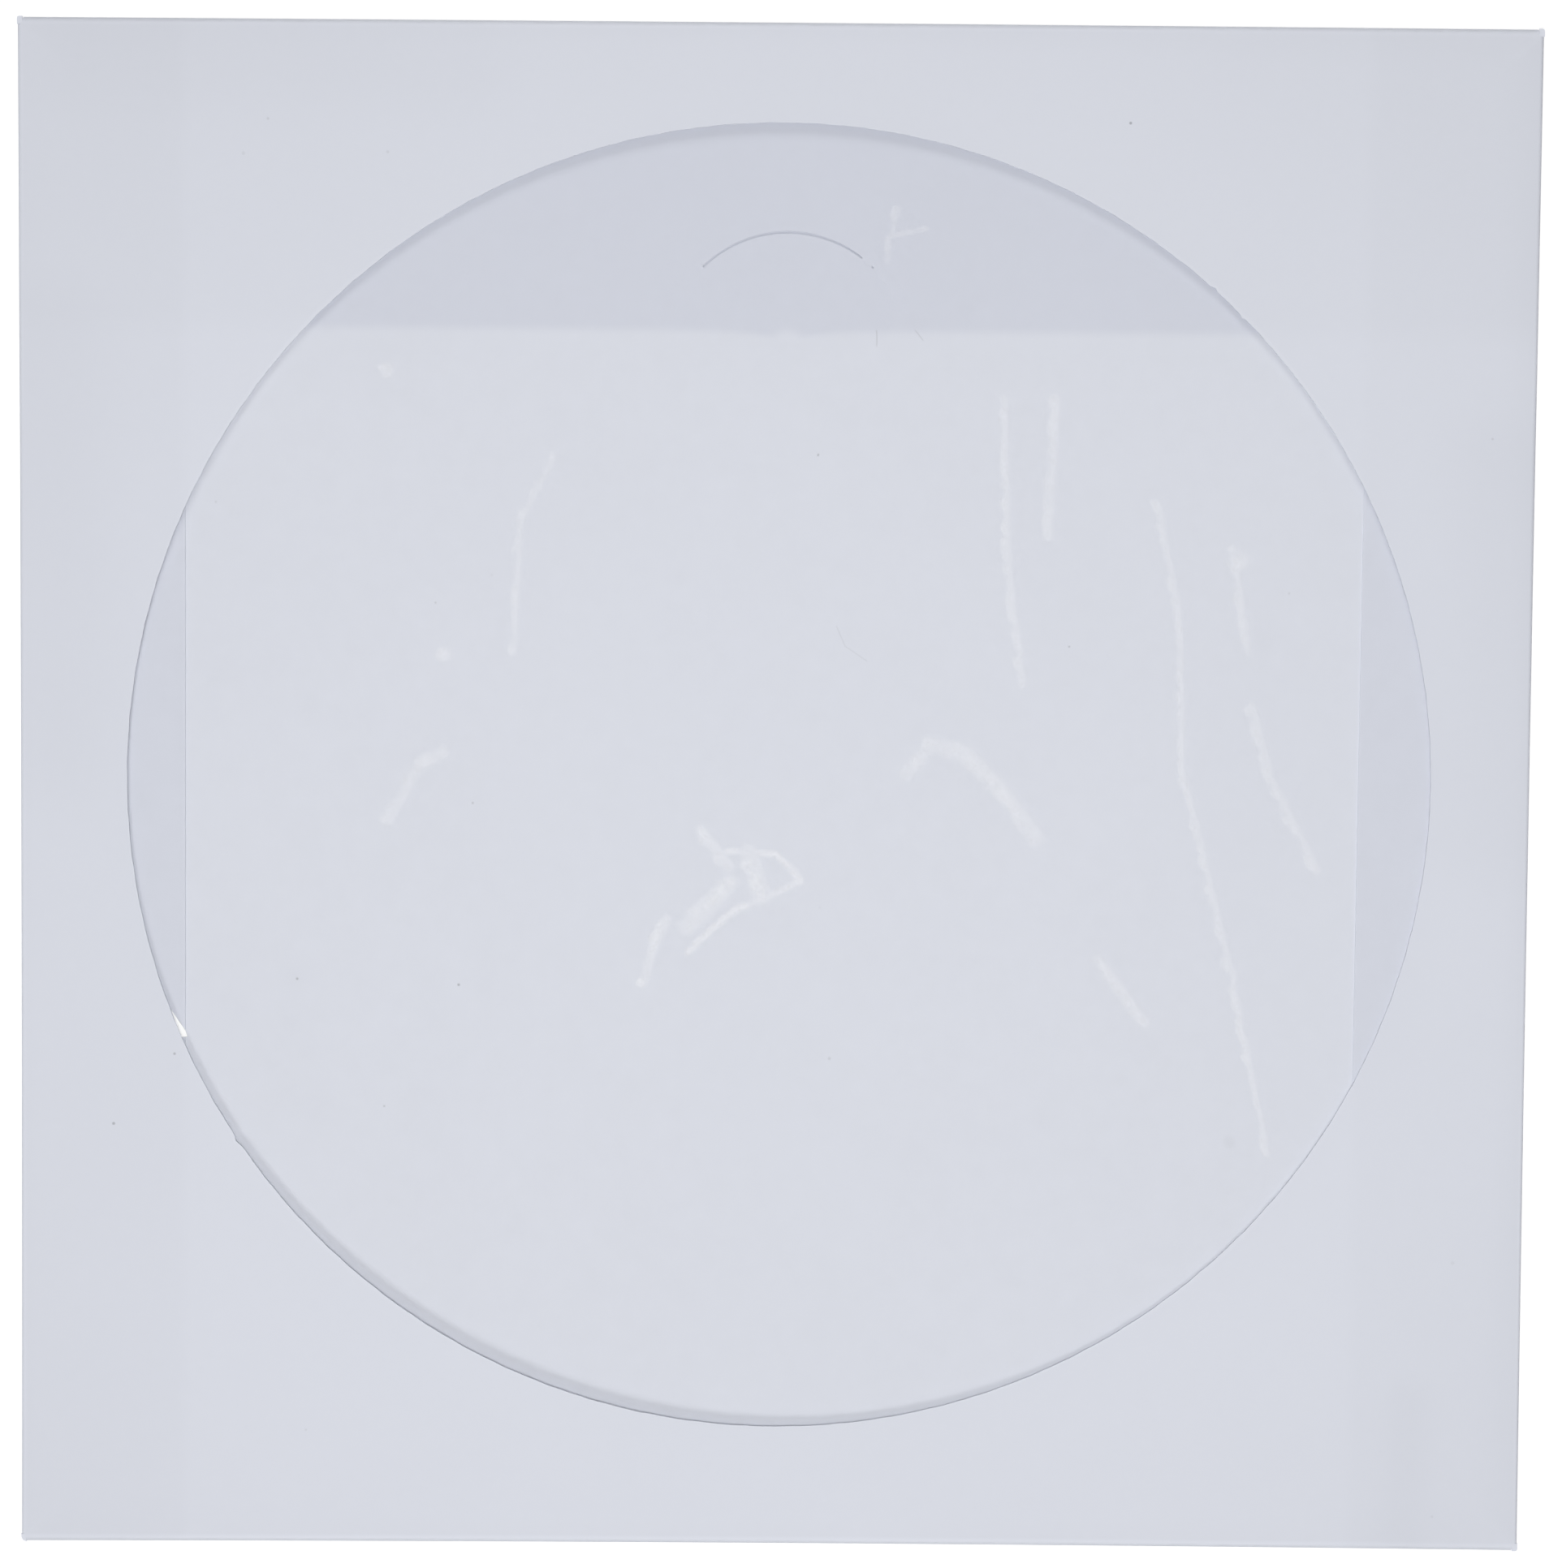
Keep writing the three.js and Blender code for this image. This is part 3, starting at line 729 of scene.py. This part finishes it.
# Scratches of the film: points in mm, width and strength.
FILM_STROKES = [
    ([(10.6, 1.6), (12.6, 3.9), (15.4, 3.4), (18.2, 0.6), (21.4, -3.6)], 1.9, 0.050),
    ([(-31.9, -2.6), (-29.3, 2.0), (-27.3, 3.1)], 1.5, 0.040),
    ([(-18.4, 27.3), (-21.1, 22.0), (-21.6, 11.4)], 1.0, 0.030),
    ([(18.3, 32.2), (18.8, 18.4), (20.1, 9.1)], 1.1, 0.040),
    ([(22.6, 32.3), (22.1, 21.1)], 1.3, 0.030),
    ([(31.0, 23.8), (32.9, 14.5), (33.3, 1.9), (37.5, -14.5), (40.7, -29.6)], 1.0, 0.040),
    ([(38.9, 7.2), (40.6, 1.2), (44.4, -6.1)], 1.3, 0.035),
    ([(37.2, 20.2), (38.5, 11.9)], 1.2, 0.030),
    ([(26.5, -13.6), (30.5, -18.9)], 1.5, 0.035),
    ([(9.5, 47.6), (8.6, 43.4)], 0.8, 0.035),
    ([(9.1, 45.4), (11.9, 46.0)], 0.7, 0.030),
]
# The crinkled patch, as painted reflection: its wider shiny faces and its folds.
FILM_CRINKLE_REFLECTIONS = [
    ([(-6.2, -3.3), (-4.0, -6.1)], 1.5, 0.075),
    ([(-3.8, -7.5), (-5.7, -9.7), (-7.3, -11.1)], 2.0, 0.085),
    ([(-2.2, -5.2), (-1.2, -8.5)], 2.2, 0.085),
    ([(-3.8, -4.9), (0.2, -5.1), (2.1, -7.1)], 0.8, 0.075),
    ([(2.1, -7.3), (-1.4, -8.9), (-3.4, -9.9), (-7.1, -13.2)], 0.9, 0.090),
    ([(-9.0, -10.6), (-10.2, -13.2), (-10.9, -15.8)], 1.3, 0.090),
]
# Small white spots: place, radius and strength.
FILM_SPOTS = [(37.7, 19.2, 1.1, 0.07), (-32.0, 34.2, 0.8, 0.06), (-27.3, 11.1, 0.8, 0.08)]
# Where the film's lifted edge catches the light as a white sliver, by its corners in order.
GLINT = [(-49.6, -18.2), (-48.75, -20.55), (-48.2, -20.5), (-48.35, -20.0)]

# The film's least cover and how much its haze adds, for both of its faces at once, and the sliver's cover.
VEIL, HAZE, BOTH_FACES = 0.02, 0.05, 1.92
GLINT_COVER = 0.97
# Marks stronger than this are as white as they get.
WHITE_FROM = 1.0 / 90.0
VEIL_COLOUR = from_srgb(205, 208, 214)
SHINE_COLOUR = (0.98, 0.98, 0.97, 1.0)


def polygon(x, y, corners, soft):
    """1 inside a convex outline given anticlockwise, fading over a soft width at its sides."""
    total = 1.0
    for (x0, y0), (x1, y1) in zip(corners, corners[1:] + corners[:1]):
        length = float(np.hypot(x1 - x0, y1 - y0))
        run_x, run_y = (x1 - x0) / length, (y1 - y0) / length
        inward = y * run_x - x * run_y + (run_y * x0 - run_x * y0)
        total = inward.step(-soft / 2, soft / 2) * total
    return total


def film_material():
    """Clear film: a slight veil, with scratches and small spots that catch more light, a crinkled patch as painted
    reflection, and a painted glint on its lifted edge.
    """
    n = Nodes("clear_film")
    place = n.node("ShaderNodeTexCoord").outputs["Object"]
    x, y, _ = n.parts(n.value("ShaderNodeVectorMath", {"operation": "SCALE"}, place, Scale=1.0 / MM))
    broken = n.value("ShaderNodeTexNoise", None, Vector=place, Scale=700.0, Detail=2.0, Roughness=0.7)
    flat = n.value("ShaderNodeCombineXYZ", None, x + (broken - 0.5) * 1.2, y, 0.0)
    haze = n.value("ShaderNodeTexNoise", None, Vector=place, Scale=90.0, Detail=3.0, Roughness=0.65)
    marks = [stroke(n, flat, *mark) for mark in FILM_STROKES + FILM_CRINKLE_REFLECTIONS]
    marks += [spot(n, flat, *mark, 0.9) for mark in FILM_SPOTS]
    # The scratches and spots are wear; the crinkles among these marks are painted reflection, and the glint is a
    # painted highlight.
    worn = strongest(marks) * broken.step(0.38, 0.60).higher(0.35)
    glint = polygon(x, y, GLINT, 0.08)
    alpha = ((haze * HAZE + VEIL + worn) * BOTH_FACES).higher(glint * GLINT_COVER)
    colour = n.mix((worn * (1.0 / WHITE_FROM)).lower(1.0).higher(glint), VEIL_COLOUR, SHINE_COLOUR)
    shader = n.node("ShaderNodeBsdfPrincipled", None, Base_Color=colour, Roughness=0.15, Alpha=alpha)
    n.material.surface_render_method = "BLENDED"
    # The film's underside lets everything through, so a ray meets the marks once.
    under = n.node("ShaderNodeNewGeometry").outputs["Backfacing"]
    clear = n.node("ShaderNodeBsdfTransparent", None, (1.0, 1.0, 1.0, 1.0))
    both = n.node("ShaderNodeMixShader", None, under, shader.outputs["BSDF"], clear.outputs["BSDF"])
    return n.finish(both.outputs["Shader"])


# The photograph's camera, from the fit of the sleeve's corners and its window: tilts in degrees, the shift and
# the level of the plane that was fitted in mm, and how many pixels of the photograph a millimetre takes.
CAMERA_DISTANCE = 300.0
CAMERA_TILTS = np.radians([2.785, 0.246, -0.434])
CAMERA_SHIFT = np.array([-0.434, -0.667, 0.0])
FITTED_LEVEL = 0.52
PIXELS_PER_MM = 15.0208
FOCAL_PIXELS = PIXELS_PER_MM * CAMERA_DISTANCE
PICTURE_LONG_SIDE = 1932
SENSOR = 36.0


def photograph_camera():
    """The camera over the sleeve, with the sleeve's tilt in the picture turned into the camera's."""
    rx, ry, rz = CAMERA_TILTS
    turn = Matrix.Rotation(rz, 3, "Z") @ Matrix.Rotation(ry, 3, "Y") @ Matrix.Rotation(rx, 3, "X")
    back = turn.transposed()
    place = back @ (Vector((0.0, 0.0, CAMERA_DISTANCE)) - Vector(CAMERA_SHIFT))
    place.z += FITTED_LEVEL
    camera = bpy.data.objects.new("camera", bpy.data.cameras.new("camera"))
    camera.data.sensor_width = SENSOR
    camera.data.lens = SENSOR * FOCAL_PIXELS / PICTURE_LONG_SIDE
    camera.data.clip_start = 0.01
    camera.matrix_world = Matrix.Translation(place * MM) @ back.to_4x4()
    bpy.context.scene.collection.objects.link(camera)
    bpy.context.scene.camera = camera


# The table, in metres: half its width, and how far it lies below the sleeve so that no faces coincide.
TABLE_HALF = 3.0
TABLE_GAP = 0.00005
# How much of what the camera sees of the table is its own glow, and how strong that is.
GLOW_SHARE, GLOW = 0.72, 1.15


def table_top():
    """A white table: the camera sees it white, and it keeps the sleeve's shadow."""
    signs = [(-1, -1), (1, -1), (1, 1), (-1, 1)]
    mesh = bpy.data.meshes.new("table_top")
    mesh.from_pydata([(x * TABLE_HALF, y * TABLE_HALF, -TABLE_GAP) for x, y in signs], [], [(0, 1, 2, 3)])
    n = Nodes("table_white")
    rays = n.node("ShaderNodeLightPath")
    seen = Value(n, rays.outputs["Is Camera Ray"])
    seen = seen.higher(rays.outputs["Is Glossy Ray"]).higher(rays.outputs["Is Transmission Ray"])
    diffuse = n.node("ShaderNodeBsdfDiffuse", None, (0.9, 0.9, 0.9, 1.0))
    glow = n.node("ShaderNodeEmission", None, (1.0, 1.0, 1.0, 1.0), GLOW)
    both = n.node("ShaderNodeMixShader", None, seen * GLOW_SHARE, diffuse.outputs[0], glow.outputs[0])
    mesh.materials.append(n.finish(both.outputs[0]))
    table = bpy.data.objects.new("table_top", mesh)
    bpy.context.scene.collection.objects.link(table)


def soft_light(name, azimuth, elevation, distance, size, power):
    """A square lamp aimed at the sleeve, in degrees, metres and watts. Azimuth 0 is +X, turning towards +Y."""
    a, e = np.radians([azimuth, elevation])
    lamp = bpy.data.lights.new(name, "AREA")
    lamp.shape, lamp.size, lamp.energy = "SQUARE", size, power
    place = Vector((np.cos(a) * np.cos(e), np.sin(a) * np.cos(e), np.sin(e))) * distance
    light = bpy.data.objects.new(name, lamp)
    light.matrix_world = Matrix.Translation(place) @ place.to_track_quat("Z", "Y").to_matrix().to_4x4()
    bpy.context.scene.collection.objects.link(light)
    return light


# Light all round, for the sleeve, and the plain white that the camera sees past the table.
ROOM_LIGHT, ROOM_SEEN = 0.15, 1.0


def studio():
    """Light from the top, the lower left and overhead, as the shadows along the window's edge ask for."""
    soft_light("window_light", azimuth=95.0, elevation=42.0, distance=3.0, size=1.3, power=22.2)
    soft_light("lower_left_light", azimuth=247.0, elevation=42.0, distance=3.0, size=0.9, power=25.3)
    overhead = soft_light("overhead_light", azimuth=-100.0, elevation=87.5, distance=0.33, size=0.05, power=0.585)
    overhead.visible_glossy = False
    overhead.data.specular_factor = 0.0
    world = bpy.data.worlds.new("studio")
    world.use_nodes = True
    background = world.node_tree.nodes["Background"]
    background.inputs["Color"].default_value = (1.0, 1.0, 1.0, 1.0)
    rays = world.node_tree.nodes.new("ShaderNodeLightPath")
    strength = world.node_tree.nodes.new("ShaderNodeMapRange")
    strength.inputs["To Min"].default_value = ROOM_LIGHT
    strength.inputs["To Max"].default_value = ROOM_SEEN
    world.node_tree.links.new(rays.outputs["Is Camera Ray"], strength.inputs["Value"])
    world.node_tree.links.new(strength.outputs["Result"], background.inputs["Strength"])
    bpy.context.scene.world = world
    bpy.context.scene.view_settings.view_transform = "Standard"


def dress():
    """Both sheets on the part's one body, in place of their solids."""
    film = window_film(film_material())
    film.visible_shadow = film.visible_diffuse = False
    for piece, node, slot in (
        (paper_sleeve(paper_material()), "paper_sleeve", "paper"),
        (film, "window_film", "film"),
    ):
        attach(piece, "root")
        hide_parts(node)


photograph_camera()
table_top()
studio()
dress()
